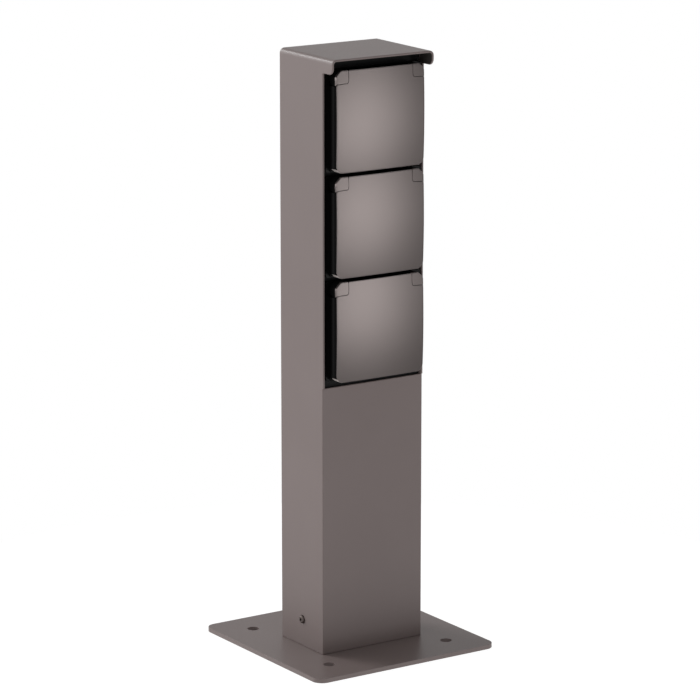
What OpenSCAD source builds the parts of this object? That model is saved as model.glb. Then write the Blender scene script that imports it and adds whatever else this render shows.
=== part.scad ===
// Garden socket post: a folded sheet post on a base plate, with a hood over a column of
// hinged-lid socket modules. Millimetres, +Z up, front towards -Y, +X to the right.
// Origin: middle of the base plate's underside.

/* [Post] */
// Outside width of the post
post_w = 80; // [78:0.5:100]
// Outside depth of the post
post_d = 50; // [48:0.5:80]
// Height from the ground to the top of the roof
post_h = 408; // [380:1:600]
// Thickness of the folded sheet
sheet_t = 2; // [1.5:0.1:2.4]
// Inner radius of the roof bends
bend_r = 1; // [0.5:0.1:2]
// Radius of the long front edges
edge_r = 1.2; // [0.2:0.1:1.4]
// How far the post stands in front of the plate's middle
post_offset = 3; // [0:0.5:8]
// How far the hood reaches in front of the post
hood_reach = 12; // [10:0.5:20]
// Height of the hood's side flanges, with the roof
hood_drop = 10; // [7:0.5:13]
// Radius of the flanges' lower front corners
hood_corner_r = 3; // [1:0.5:4]

/* [Base plate and foot] */
// Side of the square base plate
plate_side = 144; // [130:1:200]
// Thickness of the base plate
plate_t = 3; // [3:0.5:8]
// Corner radius of the base plate
plate_corner_r = 7.5; // [3:0.5:15]
// Diameter of the anchor holes
anchor_d = 8; // [6:0.5:12]
// Distance between anchor holes
anchor_spacing = 95; // [94:1:110]
// Thickness of the foot bracket's sheet
foot_t = 2.5; // [2:0.1:4]
// Height of the foot bracket's legs
foot_h = 40; // [30:1:60]
// Depth of the foot bracket
foot_d = 34; // [30:1:40]
// Play between the foot bracket and the walls
foot_play = 0.3; // [0.1:0.1:0.6]
// Height of the side screws above the plate
side_screw_z = 18.5; // [14:0.5:24]
// Thread diameter of the side screws
side_screw_d = 5; // [4:0.5:6]
// Diameter of the cable entry through the plate
cable_hole_d = 26; // [20:1:28]
// Bore of the cable grommet
cable_bore_d = 14; // [8:1:16]

/* [Socket modules] */
// Number of socket modules
socket_count = 3; // [1:1:3]
// Width of a lid
lid_w = 69.2; // [66:0.2:70]
// Height of a lid
lid_h = 67.6; // [66:0.2:72]
// Gap between two lids
lid_gap = 2.5; // [2:0.1:4]
// Distance from the roof's top to the first lid
lid_drop = 8.6; // [7.6:0.1:14]
// Gap from the last lid to the front panel
panel_gap = 4.6; // [3:0.1:10]
// Radius of the crowned lid surface
crown_r = 600; // [400:10:1200]
// How far the middle of a lid stands in front of the post
lid_reach = 10.8; // [9.6:0.1:12]
// Radius of the lid's lower corners
lid_corner_r = 3; // [1:0.5:5]
// Depth of the lid cover's flat back, in front of the post
cover_back = 7.2; // [6.9:0.1:7.4]
// Wall of the lid cover
cover_wall = 1.6; // [1.2:0.1:1.8]
// Thickness of the inner lid pan
pan_t = 2; // [1.6:0.1:2.4]
// Depth of the frame's skirt, in front of the post
skirt_front = 6.6; // [5.6:0.1:6.8]
// Wall of the frame's skirt
skirt_wall = 2; // [1.5:0.1:2.5]
// How far the frame's flange stands in front of the post
flange_proud = 1; // [0.6:0.1:1.4]
// Thickness of the frame's flange
flange_t = 3; // [2.6:0.1:4]
// Play between the flange and the walls
flange_play = 0.3; // [0.2:0.1:0.6]
// Thickness of the carrier's sheet
carrier_t = 1.5; // [1:0.1:2]

/* [Lid hinge] */
// Width of a hinge corner
corner_w = 9.6; // [8:0.1:11]
// Radius of a hinge corner's outer edge
corner_r = 4.5; // [2:0.1:5]
// Radius of a hinge corner's inner edge
corner_inner_r = 2; // [0.5:0.1:3]
// Distance from the hinge axis up to the lid's top edge
axis_drop = 4.4; // [4:0.1:5]
// Distance from the hinge axis down to the hinge corner's lower edge
corner_drop = 4.8; // [4.4:0.1:5.4]
// Depth of the hinge axis, in front of the post
axis_depth = 5.8; // [5.6:0.1:6]
// Diameter of the hinge pin
pin_d = 1.6; // [1.4:0.1:1.8]
// Radial running clearance of the pin in the lid's knuckles
pin_run = 0.05; // [0.02:0.01:0.1]
// Radial clearance of the pin in the hinge corners
pin_seat = 0.02; // [0.01:0.01:0.05]
// Running gap round the hinge corners and in the trough
hinge_gap = 0.35; // [0.3:0.05:0.5]
// Wire diameter of the closing spring
spring_wire_d = 0.5; // [0.4:0.05:0.6]
// Curls of the closing spring
spring_curls = 6; // [4:1:8]
// Distance between two curls of the closing spring
spring_pitch = 1; // [1:0.05:1.2]

/* [Plug insert] */
// Diameter of the plug well
well_d = 39.5; // [39:0.1:40]
// Depth of the plug well
well_depth = 17.5; // [17:0.1:18]
// Wall of the well's barrel
well_wall = 2.2; // [1.8:0.1:2.6]
// Thickness of the insert's face
face_t = 2.4; // [2:0.1:3]
// Distance between the pin holes
pin_hole_spacing = 19; // [18.5:0.1:19.5]
// Diameter of the pin holes
pin_hole_d = 5.4; // [5:0.1:5.8]
// Clearance between fixed pieces that nest
nest_play = 0.3; // [0.2:0.05:0.5]

/* [Terminals and wiring] */
// Height of the mounting rail above the plate
rail_z = 112; // [100:1:125]
// Width of a terminal
terminal_w = 8.6; // [6:0.2:9]
// Diameter of an insulated conductor
wire_d = 2.8; // [2:0.1:3.2]

/* [Hidden] */
$fn = 64;
fine = 1440;
hex_sides = 6;
turn = 360;
slack = 1;
coat = [0.52, 0.485, 0.478];
black = [0.06, 0.06, 0.065];
steel = [0.72, 0.72, 0.72];
brass = [0.78, 0.64, 0.34];
rubber = [0.12, 0.12, 0.12];
live = [0.45, 0.28, 0.16];
earth = [0.45, 0.66, 0.18];
neutral = [0.20, 0.38, 0.66];

SOCKETS = [1:socket_count];
PER_SOCKET = [
  "socket_frame", "socket_insert", "contact_block", "earth_strap", "contact_sleeves", "hinge_corners",
  "hinge_pin", "lid_spring", "lid_cover", "lid_pan", "lid_seal"
];

// Housing
half_w = post_w / 2;
inner_w = post_w - 2 * sheet_t;
front_y = -post_offset - post_d / 2;
inner_back = post_d - sheet_t;
hood_z = post_h - hood_drop;
bend_z = post_h - sheet_t - bend_r;

// Module places, measured from the roof down
pitch = lid_h + lid_gap;
function socket_z(n) = post_h - lid_drop - lid_h / 2 - (n - 1) * pitch;
panel_z = socket_z(socket_count) - lid_h / 2 - panel_gap;

// Crowned lid: how far its surface stands in front of the post at a point of the lid
function crown_depth(x, z) = sqrt(crown_r * crown_r - x * x - z * z) - crown_r + lid_reach;

// Frame
flange_w = inner_w - 2 * flange_play;
flange_back = flange_t - flange_proud;
flange_corner_r = 2;
carrier_back = flange_back + carrier_t;
carrier_lip = 12;
carrier_lap = 12;
roof_play = 1.5;

// Hinge
lid_top = lid_h / 2;
axis_z = lid_top - axis_drop;
corner_in = lid_w / 2 - corner_w;
corner_z = axis_z - corner_drop;
pin_r = pin_d / 2;
pin_inset = 1;
shoulder_r = norm([corner_drop, crown_depth(corner_in, corner_z) - axis_depth]) + hinge_gap;
trough_r = norm([axis_drop, crown_depth(0, lid_top) - axis_depth]) + hinge_gap;
pocket_z = axis_z - shoulder_r;
knuckle_r = 1.9;
knuckle_x = 7;
spring_gap = 0.2;
spring_r = pin_r + spring_gap + spring_wire_d / 2;
spring_room = 0.5;
spring_room_r = spring_r + spring_wire_d / 2 + spring_room;

// Lid
pan_back = cover_back - pan_t;
pan_margin = 1;
hollow_margin = 2;
seal_set = 0.8;
seal_wall = 1.8;

// Insert
well_r = well_d / 2;
barrel_r = well_r + well_wall;
face_front = flange_proud + face_t;
floor_y = well_depth - face_front;
floor_t = 2;
block_y = floor_y + floor_t;
block_depth = 16;
block_back = block_y + block_depth;
block_w = 40;
block_h = 28;
face_side_gap = 1.6;
face_gap = 0.8;
face_w = lid_w - 2 * (skirt_wall + face_side_gap);
face_top = axis_z - trough_r - face_gap;
face_bottom = lid_h / 2 - skirt_wall - face_gap;
strap_t = 0.8;
strap_w = 5;
strap_gap = 0.2;
strap_z = sqrt(well_r * well_r - strap_w * strap_w / 4) - strap_gap - strap_t;
strap_bump = 1.4;
crest_len = 2.5;
finger_len = 12;
strap_groove = strap_t + strap_gap;
sleeve_step = 1.1;
sleeve_r = pin_hole_d / 2 + sleeve_step;
sleeve_wall = 1.2;
sleeve_set = 1.5;
sleeve_y = block_y + sleeve_set;
tail_w = 4;
tail_len = 2;
tail_y = block_back + tail_len;

// Frame screws
screw_r = 1.45;
screw_play = 0.25;
screw_hole_r = screw_r + screw_play;
screw_head_r = 2.8;
screw_head_t = 1.4;
screw_slot = 0.8;
screw_past = 2.5;
screw_end = carrier_back + screw_past;
screw_margin = 4.5;
screw_x = face_w / 2 - screw_margin;
screw_heights = [screw_margin - face_bottom, face_top - screw_margin];

// Foot
foot_top = plate_t + foot_t;
side_screw_h = plate_t + side_screw_z;
side_screw_sunk = 0.6;
side_screw_len = 9;
side_hole_play = 0.3;
side_hole_r = side_screw_d / 2 + side_hole_play;
hex_key = 2.5;
grommet_lip = 3;
grommet_lip_t = 2;
stud_d = 5;
stud_len = 14;
washer_d = 10;
washer_t = 1;
nut_d = 8.75;
nut_h = 4;
stud_x = (inner_w / 2 - foot_play - foot_t + cable_hole_d / 2 + grommet_lip) / 2;

// Rail, terminals and wiring
rail_h = 35;
rail_web = 25;
rail_depth = 7.5;
rail_t = 1;
rail_len = 56;
rail_mid = plate_t + rail_z;
lip_front = inner_back - rail_depth;
terminal_h = 44;
terminal_depth = 26;
hook_h = 2.2;
hook_play = 0.3;
wire_r = wire_d / 2;
wire_gap = 0.3;
wire_hole_r = wire_r + wire_gap;
clamp_r = 1.4;
wire_entry = 6;
wire_touch = tail_y + wire_gap + wire_r;
riser_gap = 4;
riser_y = inner_back - riser_gap - wire_r;
wire_steps = 60;
wire_sides = 8;
wire_bump = 7;
strap_tail_z = -strap_z - strap_t / 2;

// Placing
module at_post() {
  translate([0, -post_offset, 0]) children();
}
module at_front() {
  translate([0, front_y, 0]) children();
}
module at_socket(n) {
  translate([0, front_y, socket_z(n)]) children();
}
module at_hinge() {
  translate([0, -axis_depth, axis_z]) children();
}
module both_sides() {
  children();
  mirror([1, 0, 0]) children();
}

// Shapes
module slab(y0, y1) {
  translate([0, y1, 0]) rotate([90, 0, 0]) linear_extrude(y1 - y0) children();
}
module rod_x(r, x0, x1) {
  translate([x0, 0, 0]) rotate([0, 90, 0]) cylinder(r = r, h = x1 - x0);
}
module rod_y(r, y0, y1) {
  translate([0, y1, 0]) rotate([90, 0, 0]) cylinder(r = r, h = y1 - y0);
}
module block(low, high) {
  translate(low) cube(high - low);
}
module round_rect(w, h, r) {
  square([w - 2 * r, h], center = true);
  square([w, h - 2 * r], center = true);
  for (x = [-1, 1], y = [-1, 1])
    translate([x * (w / 2 - r), y * (h / 2 - r)]) circle(r);
}
// What a round corner of radius r takes off a square one, with the corner at the origin
module corner_waste(r) {
  difference() {
    translate([-slack, -slack]) square(r + slack);
    translate([r, r]) circle(r);
  }
}
// Outline with two round upper corners
module arch(w, z0, z1, r) {
  translate([-w / 2, z0]) square([w, z1 - r - z0]);
  translate([-w / 2 + r, z0]) square([w - 2 * r, z1 - z0]);
  for (side = [-1, 1]) translate([side * (w / 2 - r), z1 - r]) circle(r);
}
// Everything behind the crowned lid surface, shifted back by an inset
module crown(inset = 0) {
  reach = lid_reach - inset;
  rotate([90, 0, 0]) rotate_extrude($fn = 180) intersection() {
    translate([0, reach - crown_r + inset]) circle(crown_r - inset, $fn = fine);
    square([lid_w, reach]);
  }
}
// Tube along points whose path never runs along X
function tube_ring(p, t, r, sides) =
  let (u = cross(t, [1, 0, 0]) / norm(cross(t, [1, 0, 0])), v = cross(t, u) / norm(t))
  [for (k = [0:sides - 1]) p + r * (cos(turn * k / sides) * u + sin(turn * k / sides) * v)];
module tube(points, r, sides) {
  last = len(points) - 1;
  rings = [for (i = [0:last])
    tube_ring(points[i], points[min(i + 1, last)] - points[max(i - 1, 0)], r, sides)];
  walls = [for (i = [0:last - 1], k = [0:sides - 1])
    let (a = i * sides + k, b = i * sides + (k + 1) % sides)
    each [[a, b + sides, b], [a, a + sides, b + sides]]];
  ends = [for (k = [1:sides - 2])
    each [[0, k, k + 1], [last * sides, last * sides + k + 1, last * sides + k]]];
  polyhedron([for (ring = rings) each ring], concat(walls, ends));
}

// Base and foot
module base_plate() color(coat) difference() {
  linear_extrude(plate_t) round_rect(plate_side, plate_side, plate_corner_r);
  for (x = [-1, 1], y = [-1, 1])
    translate([x * anchor_spacing / 2, y * anchor_spacing / 2, -slack])
      cylinder(d = anchor_d, h = plate_t + 2 * slack);
  at_post() translate([0, 0, -slack]) cylinder(d = cable_hole_d, h = plate_t + 2 * slack);
}
module foot_bracket() color(steel) at_post() difference() {
  reach = inner_w / 2 - foot_play;
  block([-reach, -foot_d / 2, plate_t], [reach, foot_d / 2, plate_t + foot_h]);
  block([-reach + foot_t, -foot_d / 2 - slack, foot_top],
        [reach - foot_t, foot_d / 2 + slack, plate_t + foot_h + slack]);
  translate([0, 0, plate_t - slack]) cylinder(d = cable_hole_d, h = foot_t + 2 * slack);
  translate([0, 0, side_screw_h]) rod_x(side_screw_d / 2 + pin_run, -half_w, half_w);
}
module side_screws() color(steel) at_post() both_sides() translate([0, 0, side_screw_h]) difference() {
  end = half_w - side_screw_sunk;
  rod_x(side_screw_d / 2, end - side_screw_len, end);
  translate([end - hex_key, 0, 0]) rotate([0, 90, 0])
    cylinder(d = hex_key / cos(180 / hex_sides), h = hex_key + slack, $fn = hex_sides);
}
module cable_grommet() color(rubber) at_post() difference() {
  union() {
    translate([0, 0, nest_play]) cylinder(d = cable_hole_d - 2 * nest_play, h = foot_top);
    translate([0, 0, foot_top]) cylinder(d = cable_hole_d + 2 * grommet_lip, h = grommet_lip_t);
  }
  translate([0, 0, -slack]) cylinder(d = cable_bore_d, h = foot_top + grommet_lip_t + 2 * slack);
}
module earth_stud() color(brass) at_post() translate([-stud_x, 0, foot_top]) {
  cylinder(d = stud_d, h = stud_len);
  cylinder(d = washer_d, h = washer_t);
  translate([0, 0, washer_t]) cylinder(d = nut_d, h = nut_h, $fn = hex_sides);
}

// Housing
module roof_profile() difference() {
  arch(post_w, hood_z, post_h, bend_r + sheet_t);
  arch(inner_w, hood_z - slack, post_h - sheet_t, bend_r);
}
module wall_plan() difference() {
  translate([inner_w / 2, -post_d / 2]) square([sheet_t, post_d]);
  translate([half_w, -post_d / 2]) mirror([1, 0]) corner_waste(edge_r);
}
module post_shell() color(coat) at_post() difference() {
  union() {
    slab(-post_d / 2 - hood_reach, post_d / 2) roof_profile();
    both_sides() translate([0, 0, plate_t]) linear_extrude(bend_z - plate_t) wall_plan();
  }
  translate([-half_w - slack, -post_d / 2 - hood_reach, hood_z]) rotate([90, 0, 90])
    linear_extrude(post_w + 2 * slack) corner_waste(hood_corner_r);
  translate([0, 0, side_screw_h]) rod_x(side_hole_r, -half_w - slack, half_w + slack);
}
module front_panel() color(coat) at_front()
  block([-inner_w / 2, 0, plate_t], [inner_w / 2, sheet_t, panel_z]);
module rear_panel() color(coat) at_front()
  slab(inner_back, post_d) arch(inner_w, plate_t, post_h - sheet_t, bend_r + nest_play);

// What carries the modules
module screw_rows() {
  for (side = [-1, 1], z = screw_heights) translate([side * screw_x, 0, z]) children();
}
module socket_carrier() color(black) at_front() difference() {
  low = panel_z - carrier_lap;
  high = post_h - sheet_t - roof_play;
  union() {
    block([-inner_w / 2, flange_back, low], [inner_w / 2, carrier_back, high]);
    both_sides()
      block([inner_w / 2 - carrier_t, flange_back, low], [inner_w / 2, flange_back + carrier_lip, high]);
  }
  for (n = SOCKETS) translate([0, 0, socket_z(n)]) {
    rod_y(barrel_r + nest_play, -slack, carrier_back + slack);
    screw_rows() rod_y(screw_r + pin_run, -slack, carrier_back + slack);
  }
}
module frame_screws() color(steel) for (n = SOCKETS) at_socket(n) screw_rows() difference() {
  union() {
    rod_y(screw_head_r, -face_front, -face_front + screw_head_t);
    rod_y(screw_r, -face_front + screw_head_t, screw_end);
  }
  block([-screw_head_r, -face_front - slack, -screw_slot / 2],
        [screw_head_r, -face_front + screw_head_t / 2, screw_slot / 2]);
}

// Socket module
module lid_outline() difference() {
  square([lid_w, lid_h], center = true);
  for (side = [0, 1]) mirror([side, 0]) translate([-lid_w / 2, -lid_h / 2]) corner_waste(lid_corner_r);
}
module corner_outline() difference() {
  translate([corner_in, pocket_z]) square([corner_w, lid_top - pocket_z]);
  translate([lid_w / 2, lid_top]) rotate(180) corner_waste(corner_r);
}
// Round body about the hinge axis with a rounded rim, from its inner face outwards
module hinge_drum(r, inner_x, rim_r) rotate([0, 90, 0]) rotate_extrude() difference() {
  translate([0, inner_x]) square([r, lid_w - inner_x]);
  translate([r, inner_x]) mirror([1, 0]) corner_waste(rim_r);
}
module socket_frame(n) color(black) at_socket(n) difference() {
  union() {
    slab(-flange_proud, flange_back) round_rect(flange_w, lid_h, flange_corner_r);
    slab(-skirt_front, -flange_proud) difference() {
      lid_outline();
      square([lid_w - 2 * skirt_wall, lid_h - 2 * skirt_wall], center = true);
    }
  }
  rod_y(barrel_r + nest_play, -lid_reach, flange_back + slack);
  at_hinge() rod_x(trough_r, -corner_in, corner_in);
  block([-lid_w / 2, -lid_reach, lid_top - skirt_wall - slack], [lid_w / 2, -flange_proud, lid_top + slack]);
  both_sides() block([corner_in - nest_play, -lid_reach, pocket_z], [lid_w, -flange_proud, lid_h]);
  screw_rows() rod_y(screw_hole_r, -lid_reach, flange_back + slack);
}
module hinge_corners(n) color(coat) at_socket(n) both_sides() difference() {
  intersection() {
    crown();
    slab(-lid_reach, -flange_proud) corner_outline();
    union() {
      block([corner_in, -lid_reach, axis_z], [lid_w, 0, lid_h]);
      at_hinge() hinge_drum(shoulder_r - hinge_gap, corner_in, corner_inner_r);
    }
  }
  at_hinge() rod_x(pin_r + pin_seat, corner_in - slack, lid_w / 2 - pin_inset);
}
module hinge_pin(n) color(steel) at_socket(n) at_hinge()
  rod_x(pin_r, -lid_w / 2 + pin_inset + pin_run, lid_w / 2 - pin_inset - pin_run);

// Closing spring: its two legs stand behind the lid's heel and against the frame's trough
spring_start = 166;
spring_stop = 270;
spring_end = spring_stop + turn * spring_curls;
spring_arc = 45;
spring_sides = 6;
spring_apart = turn / spring_arc / 2;
spring_leg = 3;
spring_foot = sqrt(trough_r * trough_r - pow(spring_r + spring_wire_d / 2, 2)) - hinge_gap;
function spring_x(a) = spring_pitch * (a - (spring_start + spring_end) / 2) / turn;
function spring_at(a) = [spring_x(a), spring_r * cos(a), spring_r * sin(a)];
spring_turns = [for (a = [spring_start:spring_arc:spring_end]) spring_at(a)];
spring_path = concat(
  [spring_at(spring_start) + spring_leg * [0, sin(spring_start), -cos(spring_start)]],
  spring_turns,
  [spring_at(spring_end), spring_at(spring_end) + [0, spring_foot, 0]]
);
spring_self_gap = min([for (i = [0:len(spring_turns) - 1], j = [i + spring_apart:1:len(spring_turns) - 1])
  norm(spring_turns[i] - spring_turns[j])]) - spring_wire_d;
echo(spring_self_gap = spring_self_gap);
module lid_spring(n) color(steel) at_socket(n) at_hinge() tube(spring_path, spring_wire_d / 2, spring_sides);

// Lid
module lid_notches() both_sides() {
  block([corner_in - hinge_gap, -lid_reach - slack, axis_z], [lid_w, 0, lid_h]);
  at_hinge() hinge_drum(shoulder_r, corner_in - hinge_gap, corner_inner_r + hinge_gap);
}
module lid_cover(n) color(coat) at_socket(n) difference() {
  intersection() {
    crown();
    slab(-lid_reach, -cover_back) lid_outline();
  }
  lid_notches();
  intersection() {
    crown(cover_wall);
    slab(-lid_reach, -cover_back + slack) translate([hollow_margin - face_w / 2, hollow_margin - face_bottom])
      square([face_w - 2 * hollow_margin, face_bottom + face_top - 2 * hollow_margin]);
  }
  at_hinge() rod_x(spring_room_r, -knuckle_x, knuckle_x);
}
module lid_pan(n) color(black) at_socket(n) difference() {
  neck = corner_in - hinge_gap;
  intersection() {
    union() {
      block([pan_margin - face_w / 2, -cover_back, pan_margin - face_bottom],
            [face_w / 2 - pan_margin, -pan_back, face_top - pan_margin]);
      block([-neck, -cover_back, face_top - 2 * pan_margin], [neck, -pan_back, axis_z]);
      at_hinge() rod_x(knuckle_r, -neck, neck);
    }
    block([-lid_w, -cover_back, -lid_h], [lid_w, 0, lid_h]);
  }
  at_hinge() rod_x(pin_r + pin_run, -lid_w, lid_w);
  block([-knuckle_x, -lid_reach, axis_z - spring_room_r - spring_room], [knuckle_x, 0, lid_h]);
}
module lid_seal(n) color(rubber) at_socket(n) difference() {
  rod_y(well_r + seal_set + seal_wall, -pan_back, -face_front - nest_play);
  rod_y(well_r + seal_set, -lid_reach, 0);
}

// Plug insert
module pin_lanes() {
  for (side = [-1, 1]) translate([side * pin_hole_spacing / 2, 0, 0]) children();
}
module socket_insert(n) color(black) at_socket(n) difference() {
  union() {
    block([-face_w / 2, -face_front, -face_bottom], [face_w / 2, -flange_proud, face_top]);
    rod_y(barrel_r, -flange_proud, block_y);
  }
  rod_y(well_r, -face_front - slack, floor_y);
  pin_lanes() rod_y(pin_hole_d / 2, 0, block_y + slack);
  for (side = [-1, 1]) translate([0, 0, side * (strap_z + strap_t / 2)])
    block([-strap_w / 2 - strap_gap, floor_y - slack, -strap_t / 2 - strap_gap],
          [strap_w / 2 + strap_gap, block_y + slack, strap_t / 2 + strap_gap]);
  screw_rows() {
    rod_y(screw_hole_r, -face_front - slack, 0);
    rod_y(screw_head_r + nest_play, -face_front - slack, -face_front + screw_head_t);
  }
}
// Block behind the well's floor: it holds the contact sleeves and the earth strap's bar
module contact_block(n) color(black) at_socket(n) difference() {
  block([-block_w / 2, block_y, -block_h / 2], [block_w / 2, block_back, block_h / 2]);
  pin_lanes() {
    rod_y(pin_hole_d / 2, 0, block_back);
    rod_y(sleeve_r + nest_play, sleeve_y, block_back + slack);
  }
  block([-strap_w / 2 - strap_gap, 0, -block_h], [strap_w / 2 + strap_gap, block_y + strap_groove, block_h]);
}
// One finger of the earth strap, from the bar behind the well's floor to its sprung tip
module strap_finger() {
  tip_y = floor_y - finger_len;
  crest_y = tip_y + crest_len;
  root_y = crest_y + crest_len;
  inner = [[block_y, strap_z], [root_y, strap_z], [crest_y, strap_z - strap_bump], [tip_y, strap_z]];
  outer = [for (i = [len(inner) - 1:-1:0]) inner[i] + [0, strap_t]];
  polygon(concat(inner, outer));
}
module earth_strap(n) color(steel) at_socket(n) {
  translate([-strap_w / 2, 0, 0]) rotate([90, 0, 90]) linear_extrude(strap_w)
    for (side = [0, 1]) mirror([0, side]) strap_finger();
  block([-strap_w / 2, block_y, -strap_z - strap_t], [strap_w / 2, block_y + strap_t, strap_z + strap_t]);
  block([-tail_w / 2, block_y, -strap_z - strap_t], [tail_w / 2, tail_y, -strap_z]);
}
module contact_sleeves(n) color(brass) at_socket(n) pin_lanes() {
  difference() {
    rod_y(sleeve_r, sleeve_y, block_back);
    rod_y(sleeve_r - sleeve_wall, sleeve_y - slack, block_back - sleeve_wall);
  }
  block([-tail_w / 2, block_back, -tail_w / 2], [tail_w / 2, tail_y, tail_w / 2]);
}

// Rail, terminals and conductors
module mounting_rail() color(steel) at_front() translate([-rail_len / 2, 0, rail_mid]) {
  block([0, inner_back - rail_t, -rail_web / 2], [rail_len, inner_back, rail_web / 2]);
  for (side = [0, 1]) mirror([0, 0, side]) {
    block([0, lip_front, rail_web / 2 - rail_t], [rail_len, inner_back, rail_web / 2]);
    block([0, lip_front, rail_web / 2 - rail_t], [rail_len, lip_front + rail_t, rail_h / 2]);
  }
}
module terminal(lane) at_front() translate([lane * pin_hole_spacing / 2, 0, rail_mid]) difference() {
  union() {
    block([-terminal_w / 2, lip_front - terminal_depth, -terminal_h / 2],
          [terminal_w / 2, lip_front, terminal_h / 2]);
    for (side = [0, 1]) mirror([0, 0, side]) {
      block([-terminal_w / 2, lip_front, rail_h / 2 + hook_play],
            [terminal_w / 2, lip_front + rail_t + hook_play + hook_h, rail_h / 2 + hook_play + hook_h]);
      block([-terminal_w / 2, lip_front + rail_t + hook_play, rail_h / 2 - hook_h / 2],
            [terminal_w / 2, lip_front + rail_t + hook_play + hook_h, rail_h / 2 + hook_play + hook_h]);
    }
  }
  for (side = [-1, 1]) {
    translate([0, lip_front - terminal_depth / 2, side * terminal_h / 2])
      cylinder(r = wire_hole_r, h = 2 * wire_entry + 2 * slack, center = true);
    translate([0, 0, side * (terminal_h / 2 - wire_entry / 2)])
      rod_y(clamp_r, lip_front - terminal_depth - slack, lip_front - terminal_depth / 2);
  }
}
module terminal_live() color(live) terminal(-1);
module terminal_earth() color(earth) terminal(0);
module terminal_neutral() color(neutral) terminal(1);

// A conductor leaves its terminal, climbs the rear wall and dips to each module's tail
wire_set = 1;
wire_low = rail_mid + terminal_h / 2 - wire_entry + wire_set;
wire_lane_y = lip_front - terminal_depth / 2;
wire_bend = 28;
function ease(t) = let (c = max(0, min(1, t))) c * c * (3 - 2 * c);
function wire_y(z, tail_z) =
  wire_lane_y + (riser_y - wire_lane_y) * ease((z - wire_low - wire_entry) / wire_bend)
  - (riser_y - wire_touch) * max([for (n = SOCKETS) exp(-pow((z - socket_z(n) - tail_z) / wire_bump, 2))]);
module conductor(lane, tail_z) at_front() {
  high = socket_z(1) + tail_z;
  tube([for (i = [0:wire_steps])
    let (z = wire_low + (high - wire_low) * i / wire_steps)
    [lane * pin_hole_spacing / 2, wire_y(z, tail_z), z]], wire_r, wire_sides);
}
module wire_live() color(live) conductor(-1, 0);
module wire_earth() color(earth) conductor(0, strap_tail_z);
module wire_neutral() color(neutral) conductor(1, 0);

base_plate();
foot_bracket();
side_screws();
cable_grommet();
earth_stud();
post_shell();
front_panel();
rear_panel();
socket_carrier();
frame_screws();
mounting_rail();
terminal_live();
terminal_earth();
terminal_neutral();
wire_live();
wire_earth();
wire_neutral();
for (n = SOCKETS) {
  socket_frame(n);
  socket_insert(n);
  contact_block(n);
  earth_strap(n);
  contact_sleeves(n);
  hinge_corners(n);
  hinge_pin(n);
  lid_spring(n);
  lid_cover(n);
  lid_pan(n);
  lid_seal(n);
}
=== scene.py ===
# %% [markdown]
# # A garden socket post
# A folded steel post stands on a square plate. Under its hood are three plug sockets, each behind a
# sprung, slightly crowned lid. The measured solids are loaded first as a fixed frame, and every piece
# made here is put where its solid is, so that the lids still turn on their hinges.

# %% The fixed frame
import math

import bpy
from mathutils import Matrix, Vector


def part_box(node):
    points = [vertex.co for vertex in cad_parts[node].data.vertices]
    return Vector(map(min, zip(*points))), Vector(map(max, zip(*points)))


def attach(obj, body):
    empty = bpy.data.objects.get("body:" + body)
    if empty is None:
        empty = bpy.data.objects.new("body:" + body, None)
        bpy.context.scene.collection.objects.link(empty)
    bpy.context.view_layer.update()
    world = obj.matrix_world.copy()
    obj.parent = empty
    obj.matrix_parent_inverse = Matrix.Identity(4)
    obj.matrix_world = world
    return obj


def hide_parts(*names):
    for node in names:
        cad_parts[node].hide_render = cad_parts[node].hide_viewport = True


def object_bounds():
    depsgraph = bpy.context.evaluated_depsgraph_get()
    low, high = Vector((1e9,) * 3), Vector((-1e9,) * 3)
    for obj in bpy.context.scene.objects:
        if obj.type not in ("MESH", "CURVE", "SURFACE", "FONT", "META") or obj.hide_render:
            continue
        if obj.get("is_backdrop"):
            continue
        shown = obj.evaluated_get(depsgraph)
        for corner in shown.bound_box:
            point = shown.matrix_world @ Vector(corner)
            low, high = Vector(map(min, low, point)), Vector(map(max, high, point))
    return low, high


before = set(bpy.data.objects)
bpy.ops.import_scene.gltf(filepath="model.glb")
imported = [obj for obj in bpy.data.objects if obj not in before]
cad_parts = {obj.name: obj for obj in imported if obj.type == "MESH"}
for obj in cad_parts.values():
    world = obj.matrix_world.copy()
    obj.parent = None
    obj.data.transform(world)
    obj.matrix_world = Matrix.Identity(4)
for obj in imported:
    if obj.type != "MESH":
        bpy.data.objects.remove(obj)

MM = 0.001
cad_low, cad_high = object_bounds()
print("frame:", len(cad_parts), "solids,", [round(c / MM) for c in cad_high - cad_low], "mm")

# %% [markdown]
# ## Camera
# The picture was taken from the left and a little above, with a long lens from about two and a half
# metres. A long lens keeps the uprights almost parallel, so the angle is set by turning the camera and
# not by moving closer.

# %% Camera
CAMERA_AT = (-1.31717, -1.97585, 0.75706)
LOOK_DOWN, TURN_RIGHT, LENS_MM, SENSOR_MM = 13.137, 33.704, 186.62, 36
camera = bpy.data.objects.new("camera", bpy.data.cameras.new("camera"))
bpy.context.scene.collection.objects.link(camera)
camera.location = CAMERA_AT
camera.rotation_euler = (math.radians(90 - LOOK_DOWN), 0, math.radians(-TURN_RIGHT))
camera.data.sensor_width = SENSOR_MM
camera.data.lens = LENS_MM
bpy.context.scene.camera = camera
print("camera:", round(camera.location.length, 2), "m away")

# %% [markdown]
# ## Tools for modelling
# Each piece starts as a primitive, is shaped in Edit Mode and is finished with modifiers. An operator
# works on whatever is selected, so these helpers deselect everything first and then choose faces, edges
# or points by where they lie. All places are in millimetres.

# %% Starting shapes
def alone(piece=None):
    """Leave Edit Mode and select this piece only."""
    if bpy.context.object and bpy.context.object.mode != "OBJECT":
        bpy.ops.object.mode_set(mode="OBJECT")
    bpy.ops.object.select_all(action="DESELECT")
    if piece:
        piece.select_set(True)
        bpy.context.view_layer.objects.active = piece
    return piece


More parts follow.
